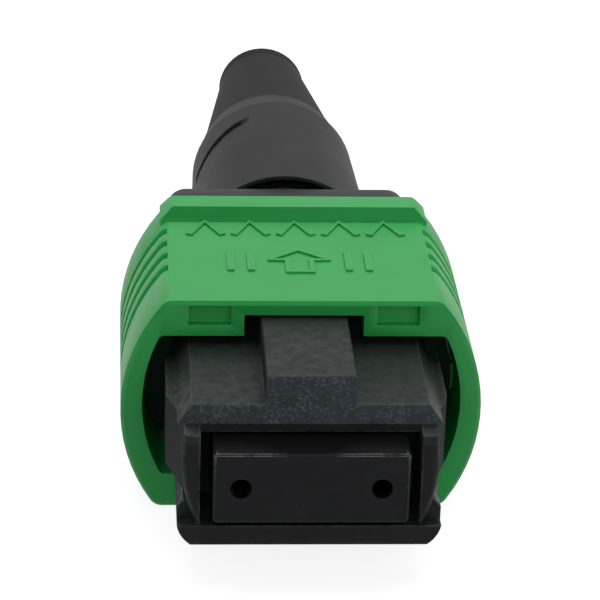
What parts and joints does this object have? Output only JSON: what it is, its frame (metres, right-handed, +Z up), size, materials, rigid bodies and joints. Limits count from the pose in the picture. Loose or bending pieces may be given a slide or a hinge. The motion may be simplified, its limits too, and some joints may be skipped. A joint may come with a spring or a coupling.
{
  "type": "mpo fibre connector",
  "caption": "Multi-fibre push-on plug with a keyed nose, flat ferrule with two guide holes, green pull-back sleeve and tapered boot.",
  "frame": {"origin": "middle of the polished ferrule face, between the two guide-pin holes", "axes": "+Y runs back along the plug to the cable, +Z is up towards the key, +X is to the right seen from the front"},
  "size_m": [0.0124, 0.0382, 0.0082],
  "materials": {
    "black_housing": "moulded, fine grain",
    "black_boot": "soft matt",
    "green_sleeve": "moulded satin",
    "crimp_metal": "drawn, dull",
    "ferrule_resin": "polished glass-filled resin",
    "clear_epoxy": "cured amber",
    "soft_rubber": "soft matt",
    "clamp_plastic": "moulded",
    "spring_steel": "drawn wire",
    "ribbon_coating": "cured acrylate",
    "glass_fibre": "coated glass"
  },
  "bodies": {
    "plug": {"inner_housing": "black_housing", "spring_push": "black_housing", "crimp_ring": "crimp_metal", "strain_relief_boot": "black_boot", "main_spring": "spring_steel", "left_sleeve_spring": "spring_steel", "right_sleeve_spring": "spring_steel"},
    "sleeve": {"outer_sleeve": "green_sleeve"},
    "ferrule": {"mt_ferrule": "ferrule_resin", "window_epoxy": "clear_epoxy", "ferrule_boot": "soft_rubber", "pin_clamp": "clamp_plastic", "fibre_ribbon": "ribbon_coating", "fibre_01": "glass_fibre", "fibre_02": "glass_fibre", "fibre_03": "glass_fibre", "fibre_04": "glass_fibre", "fibre_05": "glass_fibre", "fibre_06": "glass_fibre", "fibre_07": "glass_fibre", "fibre_08": "glass_fibre", "fibre_09": "glass_fibre", "fibre_10": "glass_fibre", "fibre_11": "glass_fibre", "fibre_12": "glass_fibre"}
  },
  "joints": [
    {"name": "sleeve_pull", "type": "slide", "parent": "plug", "child": "sleeve", "axis": [0, 1, 0], "range_m": [0, 0.0022], "stiffness_N_per_m": 600, "springref_m": -0.0015, "deforming": ["left_sleeve_spring", "right_sleeve_spring"]},
    {"name": "ferrule_float", "type": "slide", "parent": "plug", "child": "ferrule", "axis": [0, 1, 0], "range_m": [0, 0.001], "stiffness_N_per_m": 2000, "springref_m": -0.002, "deforming": ["main_spring"]}
  ]
}
